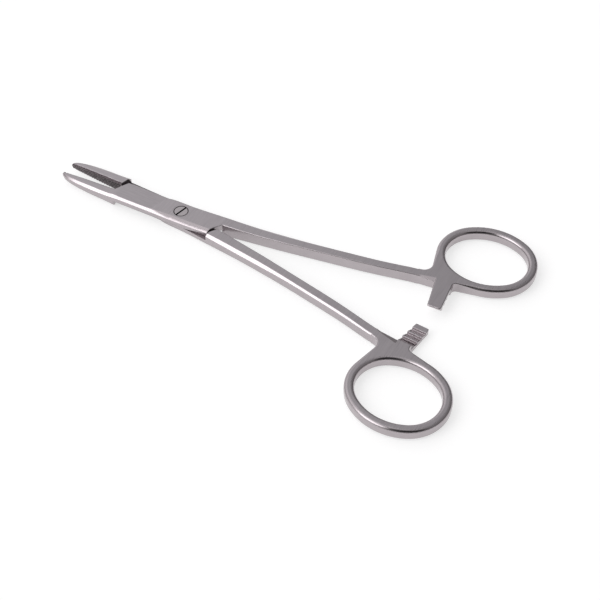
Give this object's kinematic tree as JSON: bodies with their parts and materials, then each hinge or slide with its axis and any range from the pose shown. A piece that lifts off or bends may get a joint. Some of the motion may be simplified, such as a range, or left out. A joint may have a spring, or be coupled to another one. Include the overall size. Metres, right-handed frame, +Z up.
{
  "type": "surgical needle holder",
  "caption": "Straight steel needle holder with a screwed lap joint, a bar ratchet between the shanks, oval finger rings and cross-serrated jaw inserts.",
  "frame": {"origin": "on the pivot screw's axis, on the plane that the instrument lies on", "axes": "+X along the instrument from the pivot to the finger rings, +Y across it to the upper half's ring, +Z up along the screw towards its slotted head"},
  "size_m": [0.1411, 0.0804, 0.0042],
  "materials": {
    "upper_half_steel": "satin with polished edges",
    "lower_half_steel": "satin with polished edges",
    "jaw_insert": "cross-serrated, matt",
    "screw_steel": "turned and ground flush"
  },
  "bodies": {
    "lower_half": {"lower_half": "lower_half_steel", "lower_jaw_insert": "jaw_insert", "pivot_screw": "screw_steel"},
    "upper_half": {"upper_half": "upper_half_steel", "upper_jaw_insert": "jaw_insert"}
  },
  "joints": [
    {"name": "lap_joint", "type": "hinge", "parent": "lower_half", "child": "upper_half", "pos_m": [0, 0, 0.0021], "axis": [0, 0, 1], "range_deg": [-5.28, 35]}
  ]
}
